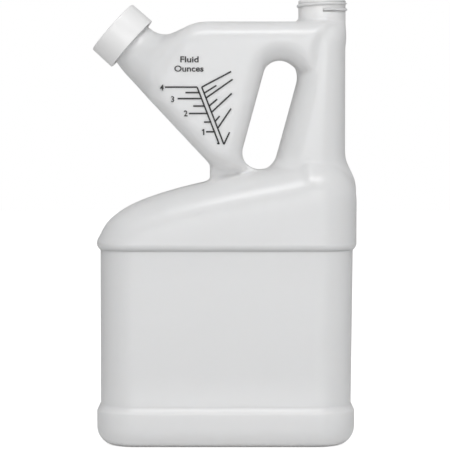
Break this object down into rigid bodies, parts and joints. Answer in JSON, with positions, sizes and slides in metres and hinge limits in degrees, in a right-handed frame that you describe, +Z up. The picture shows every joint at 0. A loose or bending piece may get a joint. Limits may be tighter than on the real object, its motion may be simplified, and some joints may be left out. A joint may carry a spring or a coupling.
{
  "type": "dosing bottle",
  "caption": "Blow-moulded twin-neck plastic bottle whose handle bridge feeds a capped, graduated measuring chamber.",
  "frame": {"origin": "centre of the bounding box on the surface that the bottle stands on", "axes": "+Z up, +X towards the fill neck, -Y towards the side with the printed scale"},
  "size_m": [0.1641, 0.082, 0.2753],
  "materials": {
    "polythene": "natural translucent high-density polythene, satin as blown",
    "cap_plastic": "white polypropylene, smooth",
    "foam": "white expanded polythene foam",
    "ink": "black screen-printed ink"
  },
  "bodies": {
    "bottle": {"bottle": "polythene", "level_scale": "ink", "tilted_scale": "ink", "numeral_1": "ink", "numeral_2": "ink", "numeral_3": "ink", "numeral_4": "ink"},
    "closure": {"cap_liner": "foam"},
    "cap": {"chamber_cap": "cap_plastic"}
  },
  "joints": [
    {"name": "cap_lift", "type": "slide", "parent": "bottle", "child": "closure", "axis": [-0.7466, 0, 0.6652], "range_m": [0, 0.0053]},
    {"name": "cap_turn", "type": "hinge", "parent": "closure", "child": "cap", "pos_m": [-0.0581, 0, 0.2482], "axis": [-0.7466, 0, 0.6652], "range_deg": [0, 450]}
  ],
  "couplings": [
    {"joint": "cap_lift", "follows": "cap_turn", "m_per_rad": 0.0006737}
  ]
}
